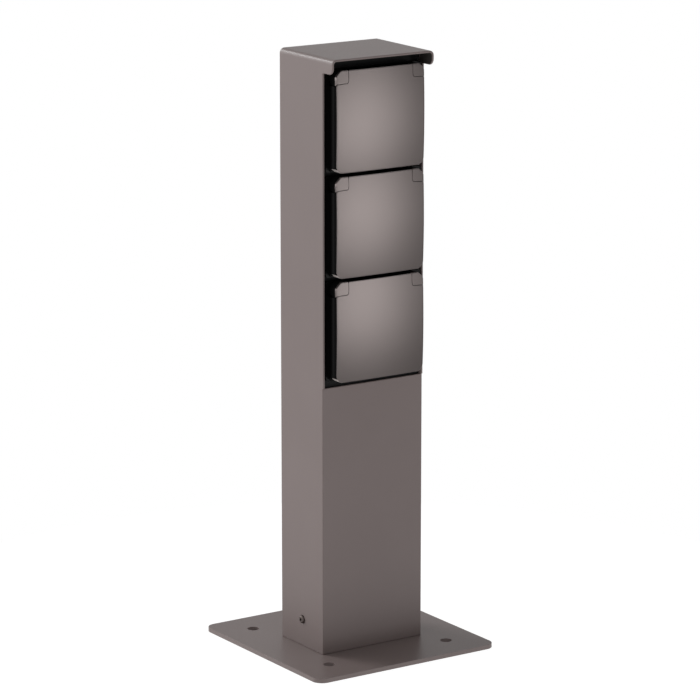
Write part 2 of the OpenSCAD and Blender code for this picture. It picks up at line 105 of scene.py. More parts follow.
def settle(name):
    """Name the new primitive and put its place, turn and size into its mesh."""
    piece = bpy.context.object
    piece.name = piece.data.name = name
    bpy.ops.object.transform_apply(location=True, rotation=True, scale=True)
    return piece


def block(name, low, high):
    """A box between two corners."""
    alone()
    low, high = Vector(low) * MM, Vector(high) * MM
    bpy.ops.mesh.primitive_cube_add(size=1, location=(low + high) / 2)
    bpy.context.object.scale = high - low
    return settle(name)


TURN_TO = {"X": (0, math.pi / 2, 0), "Y": (math.pi / 2, 0, 0), "Z": (0, 0, 0)}


def rod(name, axis, middle, radius, length, sides=64):
    """A round bar along an axis, about its middle."""
    alone()
    bpy.ops.mesh.primitive_cylinder_add(vertices=sides, radius=radius * MM, depth=length * MM,
                                        location=Vector(middle) * MM, rotation=TURN_TO[axis])
    return settle(name)


# %% Choosing, modifying and cutting
def pick(piece, kind, test):
    """Select the faces (centre, normal), edges (end, end) or points that pass a test, in Edit Mode."""
    alone(piece)
    bpy.ops.object.mode_set(mode="EDIT")
    bpy.ops.mesh.select_mode(type=kind)
    bpy.ops.mesh.select_all(action="DESELECT")
    bpy.ops.object.mode_set(mode="OBJECT")
    mesh = piece.data
    at = [v.co / MM for v in mesh.vertices]
    if kind == "FACE":
        for face in mesh.polygons:
            face.select = test(face.center / MM, face.normal)
    elif kind == "EDGE":
        for edge in mesh.edges:
            edge.select = test(at[edge.vertices[0]], at[edge.vertices[1]])
    else:
        for point in mesh.vertices:
            point.select = test(at[point.index])
    bpy.ops.object.mode_set(mode="EDIT")


def near(a, b, slack=0.02):
    return abs(a - b) < slack


def slice_through(piece, place, normal, **what):
    """Bisect the whole piece with a plane."""
    pick(piece, "FACE", lambda centre, n: True)
    bpy.ops.mesh.bisect(plane_co=Vector(place) * MM, plane_no=normal, **what)
    alone(piece)


def modify(piece, kind, **settings):
    """Add a modifier, set it and apply it."""
    alone(piece)
    modifier = piece.modifiers.new(kind.title(), kind)
    for name, value in settings.items():
        setattr(modifier, name, value)
    bpy.ops.object.modifier_apply(modifier=modifier.name)


def combine(piece, other, how):
    """Cut, keep or add another shape, and use it up."""
    modify(piece, "BOOLEAN", object=other, operation=how, solver="EXACT")
    bpy.data.meshes.remove(other.data)
    return piece


def soften(piece, width, segments=3, angle=35):
    """Round every edge that is sharper than an angle."""
    modify(piece, "BEVEL", width=width * MM, segments=segments, limit_method="ANGLE",
           angle_limit=math.radians(angle), miter_outer="MITER_ARC")


def copy_down(piece, name, drop=0):
    """A copy with its own mesh, lower by a distance."""
    alone(piece)
    bpy.ops.object.duplicate()
    bpy.ops.transform.translate(value=(0, 0, -drop * MM))
    return settle(name)


def join(pieces):
    """Make several pieces one."""
    alone(pieces[0])
    for piece in pieces[1:]:
        piece.select_set(True)
    bpy.ops.object.join()
    return pieces[0]


# %% [markdown]
# ## Finishes
# Colours are written as they would be read off a colour card, in sRGB hex, and turned to the linear
# values that a shader counts in. One small function adds a node, sets it and links it. A number that is
# the same all over a surface goes straight on the shader.

# %% Colours and nodes
def linear(card):
    """A card colour such as 857c7b as a linear RGBA value."""
    parts = [int(card[i:i + 2], 16) / 255 for i in (0, 2, 4)]
    return [c / 12.92 if c <= 0.04045 else ((c + 0.055) / 1.055) ** 2.4 for c in parts] + [1]


def add(tree, kind, inputs, **settings):
    """Add a node with its settings; an input is a value or another node's output."""
    made = tree.nodes.new("ShaderNode" + kind)
    for name, value in settings.items():
        setattr(made, name, value)
    for name, value in inputs.items():
        if isinstance(value, bpy.types.NodeSocket):
            tree.links.new(value, made.inputs[name])
        else:
            made.inputs[name].default_value = value
    return made


def finish(name, light, dark, cloud_mm, grain_mm, grain_height, rough, spread, stretch=(1, 1, 1), **shader):
    """A surface whose tone drifts in soft clouds and whose skin has a fine grain, both sized in mm."""
    made = bpy.data.materials.new(name)
    made.use_nodes = True
    tree = made.node_tree
    tree.nodes.clear()
    place = add(tree, "TexCoord", {}).outputs["Object"]
    cloud = add(tree, "TexNoise", {"Vector": place, "Scale": 1 / (cloud_mm * MM), "Detail": 3})
    drawn = add(tree, "Mapping", {"Vector": place, "Scale": stretch}).outputs["Vector"]
    grain = add(tree, "TexNoise", {"Vector": drawn, "Scale": 1 / (grain_mm * MM), "Detail": 2})
    tone = add(tree, "ValToRGB", {"Fac": cloud.outputs["Fac"]})
    tone.color_ramp.elements[0].position, tone.color_ramp.elements[0].color = 0.3, linear(dark)
    tone.color_ramp.elements[1].position, tone.color_ramp.elements[1].color = 0.7, linear(light)
    gloss = add(tree, "MapRange", {"Value": grain.outputs["Fac"], "From Min": 0.3, "From Max": 0.7,
                                   "To Min": rough - spread, "To Max": rough + spread})
    skin = add(tree, "Bump", {"Height": grain.outputs["Fac"], "Distance": grain_height * MM, "Strength": 1})
    surface = add(tree, "BsdfPrincipled", {"Base Color": tone.outputs["Color"],
                                           "Normal": skin.outputs["Normal"],
                                           "Roughness": gloss.outputs["Result"], **shader})
    add(tree, "OutputMaterial", {"Surface": surface.outputs["BSDF"]})
    return made


# %% [markdown]
# ### Painted surfaces
# The housing is steel with a baked polyester powder coat. The powder flows out to a satin skin with a
# faint orange peel, about a millimetre from crest to crest. The lids carry a smoother metallic lacquer
# in the same warm grey: its flakes lie flat, so it mirrors the room softly and its crown shows as a
# light patch that fades to the edges.

# %% Painted surfaces
powder_coat = finish("polyester_powder_coat", "887b79", "857876", 60, 1.1, 0.003, 0.37, 0.03, IOR=1.4)
# The dark primer is painted shade for the hood's inner faces.
painted_shade_dark = finish("hood_painted_shade_dark", "46413f", "3d3937", 18, 0.7, 0.004, 0.7, 0.03, IOR=1.3)
lid_lacquer = finish("metallic_lacquer", "8b8280", "89807e", 45, 0.5, 0.0004, 0.285, 0.01, Metallic=0.85)
print("painted:", powder_coat.name, painted_shade_dark.name, lid_lacquer.name)

# %% [markdown]
# ### Plastics and rubber
# The frames and inserts are injection-moulded from black thermoplastic in a polished mould, so they
# gleam only where they face a light. The lip under a lid is pale grey as a painted highlight: its colour
# stands in for the streak of light along the lid's lower corner. The seal is matt rubber. The carrier
# behind the frames is a black coated sheet.

# %% Plastics and rubber
black_gloss = finish("moulded_black_thermoplastic", "080808", "060606", 30, 0.8, 0.0006, 0.24, 0.02, IOR=1.2)
black_grain = finish("eroded_black_thermoplastic", "090909", "070707", 30, 0.4, 0.004, 0.75, 0.04, IOR=1.15)
# The lip's pale grey is a painted highlight, not the moulding's own shade.
lip_highlight_grey = finish("lip_painted_highlight_grey", "c6beba", "c0b8b4", 30, 0.8, 0.001, 0.45, 0.02, IOR=1.5)
black_coat = finish("matt_black_coated_steel", "0f0f10", "0b0b0c", 25, 0.6, 0.003, 0.6, 0.04, IOR=1.45)
seal_rubber = finish("matt_seal_rubber", "1b1b1c", "151516", 12, 0.35, 0.004, 0.72, 0.05, IOR=1.52)
moulded = {lane: finish("moulded_polyamide_" + lane, light, dark, 9, 0.4, 0.003, 0.5, 0.04, IOR=1.53)
           for lane, light, dark in (("live", "74452a", "6d3f26"), ("earth", "73a933", "6ba02e"),
                                     ("neutral", "3563a8", "305c9f"))}
sleeved = {lane: finish("pvc_insulation_" + lane, light, dark, 14, 0.3, 0.001, 0.36, 0.03, IOR=1.53)
           for lane, light, dark in (("live", "6a3d24", "633820"), ("earth", "77ad2e", "6fa429"),
                                     ("neutral", "2f5fae", "2a58a4"))}
print("plastics:", [m.name for m in (black_gloss, black_grain, lip_highlight_grey, black_coat, seal_rubber)],
      len(moulded) + len(sleeved), "coloured")

# %% [markdown]
# ### Bare metals
# Zinc plating is pale and slightly cloudy, and the plated screws are duller. Turned brass and drawn
# spring wire keep the fine lines of their making, made here by stretching the grain along the line; at a
# third of a millimetre they are coarser than real ones, which would be too fine to see.

# %% Bare metals
zinc_steel = finish("zinc_plated_steel", "b9bcc0", "a9adb2", 7, 0.5, 0.002, 0.38, 0.08, Metallic=1)
screw_steel = finish("turned_plated_steel", "7a706d", "6c6360", 4, 0.3, 0.003, 0.56, 0.06, Metallic=1)
spring_steel = finish("drawn_spring_steel", "b4b4b6", "a2a2a5", 5, 0.3, 0.002, 0.3, 0.06,
                      stretch=(0.08, 1, 1), Metallic=1)
turned_brass = finish("turned_brass", "caa658", "b8934a", 6, 0.3, 0.002, 0.3, 0.06,
                      stretch=(1, 0.08, 1), Metallic=1)
print("metals:", [m.name for m in (zinc_steel, screw_steel, spring_steel, turned_brass)])

# %% [markdown]
# ## Handing a piece over
# A finished piece is freed of slivers that a cut may have left, and its smooth shading is kept from
# crossing its edges. It is painted and fixed to the body that it moves with, and from then on it stands
# for its measured solid.

# %% Handing a piece over
SLIVER, SMOOTH_UP_TO = 0.004, math.radians(32)


def hand_over(piece, body, material, slot, *nodes):
    """Clean, smooth and paint a finished piece, fix it to its body and let it stand for its solids."""
    pick(piece, "FACE", lambda c, n: True)
    bpy.ops.mesh.dissolve_degenerate(threshold=SLIVER * MM)
    alone(piece)
    bpy.ops.object.shade_smooth_by_angle(angle=SMOOTH_UP_TO)
    modify(piece, "WEIGHTED_NORMAL", keep_sharp=True)
    piece.data.materials.clear()
    piece.data.materials.append(material)
    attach(piece, body)
    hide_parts(*nodes)
    print(piece.name, "on", body + ":", len(piece.data.polygons), "faces for", ", ".join(nodes))


def corners(node):
    """A solid's lowest and highest corner in millimetres."""
    return [Vector(round(c / MM, 4) for c in corner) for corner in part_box(node)]


# %% [markdown]
# ## Base plate
# The plate is cut from 3 mm sheet, with round corners, four anchor holes and a cable entry under the
# post. A block gets its upright edges bevelled to the corner radius, rods cut the holes, and a last
# small bevel gives every edge the soft line that a coating leaves.

# %% Base plate
PLATE_CORNER, ANCHOR, ANCHOR_R, ENTRY_Y, ENTRY_R, DRILL = 7.5, 47.5, 4, -3, 13, 9
low, high = corners("base_plate")
plate = block("base_plate_coated", low, high)
pick(plate, "EDGE", lambda a, b: abs(a.z - b.z) > 1)
bpy.ops.mesh.bevel(offset=PLATE_CORNER * MM, segments=14, affect="EDGES")
plate_z = (low.z + high.z) / 2
for x in (-ANCHOR, ANCHOR):
    for y in (-ANCHOR, ANCHOR):
        combine(plate, rod("drill", "Z", (x, y, plate_z), ANCHOR_R, DRILL), "DIFFERENCE")
combine(plate, rod("drill", "Z", (0, ENTRY_Y, plate_z), ENTRY_R, DRILL), "DIFFERENCE")
soften(plate, 0.4)
hand_over(plate, "post", powder_coat, "powder_coat", "base_plate")

# %% [markdown]
# ## Post sheet
# The real post is folded: two sides, a roof that reaches forward as a hood, and a front wall below the
# sockets. It is folded here in the same way. A box loses its front, back and underside, a bevel turns the
# roof's creases into bends, and the roof's front is let down half a millimetre to shed rain. The walls
# are cut back below the hood, a little less beside the sockets, an edge bridge closes the lower front,
# and the flanges' free corners are bevelled round. Only then does Solidify give the sheet its thickness,
# so that the inner bend stays parallel to the outer one. The hood and the rear edges stand a little proud
# of the measured solid, as coated edges do.

# %% Folding the sheet
low, high = corners("post_shell")
panel_low, panel_high = corners("front_panel")
SHEET, BEND, PROUD, FALL, HOOD_TALL, HOOD_CORNER = 1.4, 3.4, 0.7, 0.5, 10.5, 4.4
FRONT, HOOD_Z, WALL_X = panel_low.y, high.z - HOOD_TALL, high.x
WALL_Y, UPPER_Y = FRONT - 0.5, FRONT - 1.35
low.y, high.y = low.y - PROUD, high.y + PROUD
post = block("post_sheet", low, high)
pick(post, "FACE", lambda c, n: abs(n.y) > 0.9 or n.z < -0.9)
bpy.ops.mesh.delete(type="FACE")
pick(post, "EDGE", lambda a, b: all(near(abs(p.x), high.x) and near(p.z, high.z) for p in (a, b)))
bpy.ops.mesh.bevel(offset=BEND * MM, segments=8, affect="EDGES")
pick(post, "VERT", lambda p: near(p.y, low.y) and p.z > high.z - BEND - 0.1)
bpy.ops.transform.translate(value=(0, 0, -FALL * MM))
slice_through(post, (0, 0, HOOD_Z), (0, 0, 1))
slice_through(post, (0, 0, panel_high.z), (0, 0, 1))
for y in (WALL_Y, UPPER_Y):
    slice_through(post, (0, y, 0), (0, 1, 0))
pick(post, "FACE", lambda c, n: c.z < HOOD_Z and c.y < (UPPER_Y if c.z > panel_high.z else WALL_Y))
bpy.ops.mesh.delete(type="FACE")
pick(post, "EDGE", lambda a, b: near(a.y, WALL_Y) and near(b.y, WALL_Y) and abs(a.z - b.z) > 1
     and max(a.z, b.z) < panel_high.z + 0.1)
bpy.ops.mesh.bridge_edge_loops()
pick(post, "VERT", lambda p: near(p.y, low.y) and near(p.z, HOOD_Z))
bpy.ops.mesh.bevel(offset=HOOD_CORNER * MM, segments=8, affect="VERTICES")
pick(post, "FACE", lambda c, n: True)
bpy.ops.mesh.normals_make_consistent(inside=False)
alone(post)
modify(post, "SOLIDIFY", thickness=SHEET * MM, offset=-1, use_even_offset=True, use_quality_normals=True)
print("sheet:", len(post.data.polygons), "faces,", [round(d / MM, 1) for d in post.dimensions])

# %% Drilling and easing the sheet
SCREW_HOLE_R, ACROSS = 2.8, 100
screw_low, screw_high = corners("side_screws")
screw_mid = (screw_low + screw_high) / 2
combine(post, rod("drill", "X", (0, screw_mid.y, screw_mid.z), SCREW_HOLE_R, ACROSS, 32), "DIFFERENCE")
soften(post, 0.66, 5)
hand_over(post, "post", powder_coat, "powder_coat", "post_shell", "front_panel")

# %% [markdown]
# Under the hood the inner faces lie in deep shade. A thin lining of dark primer is folded there in the
# same way as the sheet; its dark colour is painted shade.

# %% Hood lining of painted shade
LINING, CLEAR, EDGE_Y, EDGE_Z, TAIL = 0.2, 0.02, 0.6, 0.4, 1.5
inner = Vector((high.x - SHEET - CLEAR, low.y + EDGE_Y, high.z - SHEET - FALL - CLEAR))
lining = block("hood_shade_lining", (-inner.x, inner.y, HOOD_Z + EDGE_Z), (inner.x, FRONT + TAIL, inner.z))
pick(lining, "FACE", lambda c, n: abs(n.y) > 0.9 or n.z < -0.9)
bpy.ops.mesh.delete(type="FACE")
pick(lining, "EDGE", lambda a, b: all(near(abs(p.x), inner.x) and near(p.z, inner.z) for p in (a, b)))
bpy.ops.mesh.bevel(offset=(BEND - SHEET) * MM, segments=5, affect="EDGES")
pick(lining, "VERT", lambda p: near(p.y, inner.y) and near(p.z, HOOD_Z + EDGE_Z))
bpy.ops.mesh.bevel(offset=(HOOD_CORNER - EDGE_Z) * MM, segments=8, affect="VERTICES")
modify(lining, "SOLIDIFY", thickness=LINING * MM, offset=-1, use_even_offset=True)
# The lining's dark primer is painted shade on the hood's inner faces.
hand_over(lining, "post", painted_shade_dark, "black_coat", "post_shell")

# %% [markdown]
# ## Rear cover
# A plain sheet closes the back between the two sides. Its upper corners follow the bends of the roof,
# and its edges are eased a little. The sides stand proud of it, so a fine joint shows all round.

# %% Rear cover
COVER_CORNER = 1.3
low, high = corners("rear_panel")
rear = block("rear_cover", low, high)
pick(rear, "EDGE", lambda a, b: all(near(p.z, high.z) for p in (a, b)) and abs(a.y - b.y) > 1)
bpy.ops.mesh.bevel(offset=COVER_CORNER * MM, segments=4, affect="EDGES")
soften(rear, 0.3, 2)
hand_over(rear, "post", powder_coat, "powder_coat", "rear_panel")

# %% [markdown]
# ## Lids and hinge corners
# Each lid is crowned like a slice of a large ball, and the two painted hinge corners beside it follow
# the same surface. So one blank is made for all three. Its outline is bevelled at the points, it is
# extruded and its rim is rounded; then planes divide it, and proportional editing lifts its middle. The
# inverse-square falloff is a parabola, which here is a ball of 600 mm radius to within 0.01 mm.

# %% The crowned blank
low, high = corners("lid_cover_1")
pin_low, pin_high = corners("hinge_pin_1")
PITCH = low.z - corners("lid_cover_2")[0].z
AXIS = (pin_low + pin_high) / 2
middle = Vector((0, low.y, (low.z + high.z) / 2))
CROWN_R, LIFT_R, RIM, GRID = 600.0, 60.0, 0.25, 3
LID_CORNER, PROFILE_LOW, PROFILE_HIGH = 4.5, 0.42, 0.34
LIFT = LIFT_R ** 2 / (2 * CROWN_R)
SEAT_Y = corners("hinge_corners_1")[1].y
front_y = low.y + LIFT
alone()
bpy.ops.mesh.primitive_plane_add(size=1, location=(0, front_y * MM, middle.z * MM), rotation=TURN_TO["Y"])
bpy.context.object.scale = ((high.x - low.x) * MM, (high.z - low.z) * MM, 1)
blank = settle("lid_blank")
pick(blank, "VERT", lambda p: p.z < middle.z)
bpy.ops.mesh.bevel(offset=LID_CORNER * MM, segments=8, affect="VERTICES", profile=PROFILE_LOW)
pick(blank, "VERT", lambda p: near(p.z, high.z))
bpy.ops.mesh.bevel(offset=LID_CORNER * MM, segments=8, affect="VERTICES", profile=PROFILE_HIGH)
pick(blank, "FACE", lambda c, n: True)
bpy.ops.mesh.extrude_region_move(TRANSFORM_OT_translate={"value": (0, (SEAT_Y - low.y - LIFT) * MM, 0)})
pick(blank, "FACE", lambda c, n: True)
bpy.ops.mesh.normals_make_consistent(inside=False)
pick(blank, "EDGE", lambda a, b: near(a.y, front_y) and near(b.y, front_y))
bpy.ops.mesh.bevel(offset=RIM * MM, segments=3, affect="EDGES")
for step in range(-11, 12):
    slice_through(blank, (step * GRID, 0, 0), (1, 0, 0))
    slice_through(blank, (0, 0, middle.z + step * GRID), (0, 0, 1))
print("blank:", len(blank.data.polygons), "faces, lift", LIFT, "mm")

# %% Lifting the crown
pick(blank, "VERT", lambda p: p.y > front_y + 0.6)
bpy.ops.mesh.hide()
alone(blank)
for point in blank.data.vertices:
    point.select = not point.hide and (point.co / MM - Vector((0, front_y, middle.z))).length < 0.1
bpy.ops.object.mode_set(mode="EDIT")
bpy.ops.transform.translate(value=(0, -LIFT * MM, 0), use_proportional_edit=True,
                            proportional_edit_falloff="INVERSE_SQUARE", proportional_size=LIFT_R * MM)
bpy.ops.mesh.reveal()
alone(blank)
crest = min(v.co.y for v in blank.data.vertices) / MM
print("crest at", round(crest, 2), "mm; solid at", round(low.y, 2))

# %% [markdown]
# The hinge corners turn the lid's notch into a body of revolution: seen along the pin, corner and notch
# are two drums on one axis with a third of a millimetre between them, so the lid can swing without
# touching. The same cutter, once with the gap and once without, therefore makes both shapes. The round
# rim of the notch swings past the upper ends of the corners, so a disc round the drum relieves them.

# %% The drum cutter
CORNER_X, CORNER_DROP, CORNER_RIM, GAP = 25.4, 3.9, 1.3, 0.35
COVER_BACK, AHEAD, BEHIND, BEYOND = high.y, -60, -10, 20


def crown_y(x, z):
    """Depth of the crowned surface at a point of the upper lid."""
    return low.y + (x * x + (z - middle.z) ** 2) / (2 * CROWN_R)


lug_r = math.hypot(CORNER_DROP, AXIS.y - crown_y(CORNER_X, AXIS.z - CORNER_DROP))


def corner_cutter(gap, open_above=True):
    """Both corner rooms: a drum about the pin with a round inner rim, and the space above it."""
    sides = []
    for side in (-1, 1):
        inner = CORNER_X - gap
        drum_x = side * (inner + BEYOND / 2)
        drum = rod("drum", "X", (drum_x, AXIS.y, AXIS.z), lug_r + gap, BEYOND, 96)
        pick(drum, "EDGE", lambda a, b: near(abs(a.x), inner) and near(abs(b.x), inner))
        bpy.ops.mesh.bevel(offset=(CORNER_RIM + gap) * MM, segments=7, affect="EDGES")
        if open_above:
            xs = sorted((side * inner, side * (inner + BEYOND)))
            above = block("above", (xs[0], AHEAD, AXIS.z), (xs[1], BEHIND, AXIS.z + BEYOND))
            combine(drum, above, "UNION")
        sides.append(drum)
    return join(sides)


# %% Cutting the lid and its corners
SWEEP_R, SWEEP_GAP = 15, GAP - 0.1
lid = copy_down(blank, "lid_1_cover")
slice_through(lid, (0, COVER_BACK, 0), (0, 1, 0), clear_outer=True, use_fill=True)
combine(lid, corner_cutter(GAP), "DIFFERENCE")
caps = combine(copy_down(blank, "lid_1_corners"), corner_cutter(0), "INTERSECT")
for side in (-1, 1):
    swept_x = side * (CORNER_X + CORNER_RIM / 2)
    disc = rod("swept", "X", (swept_x, AXIS.y, AXIS.z), SWEEP_R, CORNER_RIM + 1, 96)
    combine(disc, corner_cutter(SWEEP_GAP, open_above=False), "DIFFERENCE")
    combine(caps, disc, "DIFFERENCE")
print("lid:", len(lid.data.polygons), "faces, corners:", len(caps.data.polygons), "faces")

# %% [markdown]
# From the side only the front of a lid is painted: behind a thin lacquered facing it is black. The
# corners are painted deeper. A copy of the blank, a little wider and set back, divides each piece along
# the crown into its painted facing and its black core. A pale lip runs back under the lid; its pale grey
# is a painted highlight, the streak of light at the lid's lower corner. It is the lowest slice of the same
# blank.

# %% Facing, core and lip
LID_FACING, CORNER_FACING, WIDER, LIP_TALL, LIP_BACK = 0.4, 2.2, 1.1, 2.5, FRONT - 2.4
lip = copy_down(blank, "lid_1_lip")
slice_through(lip, (0, 0, low.z + LIP_TALL), (0, 0, 1), clear_outer=True, use_fill=True)
slice_through(lip, (0, LIP_BACK, 0), (0, 1, 0), clear_outer=True, use_fill=True)
pick(blank, "FACE", lambda c, n: True)
bpy.ops.transform.resize(value=(WIDER, 1, WIDER), center_override=middle * MM)
alone(blank)


def set_back(depth):
    """A copy of the widened blank behind a facing of this depth."""
    copy_down(blank, "divider")
    bpy.ops.transform.translate(value=(0, depth * MM, 0))
    return settle("divider")


def divide(front, core_name, depth):
    """Leave the painted facing of a piece and return the core behind it."""
    core = combine(copy_down(front, core_name), set_back(depth), "INTERSECT")
    combine(front, set_back(depth), "DIFFERENCE")
    return core


core = divide(lid, "lid_1_core", LID_FACING)
slice_through(core, (0, 0, low.z + LIP_TALL), (0, 0, 1), clear_inner=True, use_fill=True)
lugs = divide(caps, "lid_1_lugs", CORNER_FACING)
combine(lip, set_back(LID_FACING), "INTERSECT")
bpy.data.meshes.remove(blank.data)
print("core:", len(core.data.polygons), "faces, lugs:", len(lugs.data.polygons), "faces")


# %% One for each socket
def hand_over_three(first, name, body, material, slot, node):
    """Hand over a piece of the top socket and its copies lower down; {} stands for the number."""
    for n in (1, 2, 3):
        piece = first if n == 1 else copy_down(first, name.format(n), PITCH * (n - 1))
        hand_over(piece, body.format(n), material, slot, node.format(n))


hand_over_three(lid, "lid_{}_cover", "lid_{}", lid_lacquer, "lid_paint", "lid_cover_{}")
hand_over_three(core, "lid_{}_core", "lid_{}", black_grain, "black_plastic", "lid_cover_{}")
# The lip's pale grey is a painted highlight at the lid's lower corner.
hand_over_three(lip, "lid_{}_lip", "lid_{}", lip_highlight_grey, "lid_paint", "lid_cover_{}")
hand_over_three(caps, "lid_{}_corners", "post", lid_lacquer, "lid_paint", "hinge_corners_{}")
hand_over_three(lugs, "lid_{}_lugs", "post", black_grain, "black_plastic", "hinge_corners_{}")

# %% [markdown]
# ## Socket frames
# A frame is one black moulding: a flange that lies between the post's sides, and a skirt round three
# sides that carries the closed lid. The skirt starts as a block with round lower corners; insetting and
# pushing in its front face leaves the wall, a slice opens its top, a block makes room for the lid's lip,
# and rods cut the plug opening and the trough in which the lid's heel turns.

# %% Socket frames
frame_low, frame_high = corners("socket_frame_1")
insert_low, insert_high = corners("socket_insert_1")
FLANGE_Y, FLANGE_CORNER, SKIRT, SKIRT_CORNER, SKIRT_RIM = FRONT - 1, 2, 2.0, 3, 0.9
DRAFT, BARREL_R, BARREL_GAP, BORE_LONG = 1.03, 21.95, 0.3, 30
trough_r = math.hypot(high.z - AXIS.z, AXIS.y - crown_y(0, high.z)) + GAP
moulding = block("socket_1_frame", (frame_low.x, FLANGE_Y, frame_low.z), frame_high)
pick(moulding, "EDGE", lambda a, b: abs(a.y - b.y) > 1)
bpy.ops.mesh.bevel(offset=FLANGE_CORNER * MM, segments=5, affect="EDGES")
skirt = block("skirt", (low.x, frame_low.y, low.z), (high.x, FLANGE_Y + 0.5, high.z))
pick(skirt, "EDGE", lambda a, b: abs(a.y - b.y) > 1 and a.z < middle.z)
bpy.ops.mesh.bevel(offset=SKIRT_CORNER * MM, segments=8, affect="EDGES")
pick(skirt, "EDGE", lambda a, b: near(a.y, frame_low.y) and near(b.y, frame_low.y))
bpy.ops.mesh.bevel(offset=SKIRT_RIM * MM, segments=5, affect="EDGES")
pick(skirt, "VERT", lambda p: p.y > FLANGE_Y)
bpy.ops.transform.resize(value=(DRAFT, 1, 1), center_override=middle * MM)
pick(skirt, "FACE", lambda c, n: n.y < -0.99)
bpy.ops.mesh.inset(thickness=(SKIRT - SKIRT_RIM) * MM)
bpy.ops.mesh.extrude_region_move(TRANSFORM_OT_translate={"value": (0, (FLANGE_Y - frame_low.y) * MM, 0)})
slice_through(skirt, (0, 0, AXIS.z - lug_r - GAP), (0, 0, 1), clear_outer=True, use_fill=True)
combine(moulding, skirt, "UNION")
lip_room = block("lip_room", (-WALL_X, AHEAD, low.z - 1), (WALL_X, LIP_BACK + GAP, low.z + LIP_TALL + GAP))
combine(moulding, lip_room, "DIFFERENCE")
bore = rod("bore", "Y", (0, FRONT, middle.z), BARREL_R + BARREL_GAP, BORE_LONG, 96)
combine(moulding, bore, "DIFFERENCE")
combine(moulding, rod("trough", "X", AXIS, trough_r, 2 * CORNER_X, 96), "DIFFERENCE")
soften(moulding, 0.3, 3)
hand_over_three(moulding, "socket_{}_frame", "post", black_gloss, "black_plastic", "socket_frame_{}")

# %% [markdown]
# ## Plug inserts
# Behind each lid is a round well for the plug, with two guide ribs at its sides, two pin holes in its
# floor and slots for the earth springs. Adding the barrel to the face and then cutting the well keeps
# the wall the same all round.

# %% Plug inserts
WELL_R, WELL_LONG, WELL_BASE, RIB_TALL, RIB_DEEP, INSERT_CORNER = 19.75, 40, 2, 5, 2, 2.5
PIN_X, PIN_HOLE_R, PIN_HOLE_LONG, EARTH_Z, SLOT_X, SLOT_Z = 9.5, 2.7, 12, 18.99, 2.7, 0.6
SCREW_X, SCREW_IN, SEAT_R, SEAT_DEEP = 26.5, 4.5, 3.1, 2.8
floor_y = insert_high.y - WELL_BASE
screw_rows = (insert_low.z + SCREW_IN, insert_high.z - SCREW_IN)
insert = block("socket_1_insert", insert_low, (insert_high.x, FLANGE_Y, insert_high.z))
pick(insert, "EDGE", lambda a, b: abs(a.y - b.y) > 1)
bpy.ops.mesh.bevel(offset=INSERT_CORNER * MM, segments=5, affect="EDGES")
barrel_mid, barrel_long = (FLANGE_Y - 1 + insert_high.y) / 2, insert_high.y - FLANGE_Y + 1
combine(insert, rod("barrel", "Y", (0, barrel_mid, middle.z), BARREL_R, barrel_long, 96), "UNION")
well = rod("well", "Y", (0, floor_y - WELL_LONG / 2, middle.z), WELL_R, WELL_LONG, 96)
combine(insert, well, "DIFFERENCE")
for side in (-1, 1):
    xs = sorted((side * (WELL_R - RIB_DEEP), side * (WELL_R + 1)))
    rib = block("rib", (xs[0], insert_low.y + 1, middle.z - RIB_TALL / 2),
                (xs[1], floor_y + 0.5, middle.z + RIB_TALL / 2))
    combine(insert, rib, "UNION")
    pin_hole = rod("pin_hole", "Y", (side * PIN_X, floor_y, middle.z), PIN_HOLE_R, PIN_HOLE_LONG, 32)
    combine(insert, pin_hole, "DIFFERENCE")
    slot_z = middle.z + side * EARTH_Z
    slot = block("slot", (-SLOT_X, floor_y - 1, slot_z - SLOT_Z), (SLOT_X, floor_y + 9, slot_z + SLOT_Z))
    combine(insert, slot, "DIFFERENCE")
    for z in screw_rows:
        seat = rod("seat", "Y", (side * SCREW_X, insert_low.y, z), SEAT_R, SEAT_DEEP, 32)
        combine(insert, seat, "DIFFERENCE")
soften(insert, 0.3, 2)
hand_over_three(insert, "socket_{}_insert", "post", black_gloss, "black_plastic", "socket_insert_{}")

# %% [markdown]
# ## Lid pans and seals
# The inside of a lid is a black pan with two knuckles that run on the pin, and a rubber ring that
# presses on the insert. The knuckle tube is added to the pan and then cut away in the middle, where the
# spring sits. The ring is a small rounded section, spun once round.

# %% Lid pans
pan_low, pan_high = corners("lid_pan_1")
PAN_Y, PAN_CORNER, NECK = pan_low.y + 2, 3, CORNER_X - GAP
KNUCKLE_R, PIN_BORE_R, SPRING_X = 1.9, 0.85, 7.0
pan = block("lid_1_pan", (pan_low.x, pan_low.y, pan_low.z), (pan_high.x, PAN_Y, insert_high.z - 1))
pick(pan, "EDGE", lambda a, b: abs(a.y - b.y) > 1 and a.z < middle.z)
bpy.ops.mesh.bevel(offset=PAN_CORNER * MM, segments=5, affect="EDGES")
combine(pan, block("neck", (-NECK, pan_low.y, insert_high.z - 2), (NECK, PAN_Y, AXIS.z)), "UNION")
knuckles = rod("knuckles", "X", AXIS, KNUCKLE_R, 2 * NECK, 48)
slice_through(knuckles, (0, pan_low.y, 0), (0, -1, 0), clear_outer=True, use_fill=True)
combine(pan, knuckles, "UNION")
combine(pan, rod("bore", "X", AXIS, PIN_BORE_R, 2 * WALL_X, 32), "DIFFERENCE")
spring_room = block("spring_room", (-SPRING_X, AHEAD, AXIS.z - 2.5), (SPRING_X, BEHIND, AXIS.z + 9))
combine(pan, spring_room, "DIFFERENCE")
soften(pan, 0.25, 2)
hand_over_three(pan, "lid_{}_pan", "lid_{}", black_gloss, "black_plastic", "lid_pan_{}")

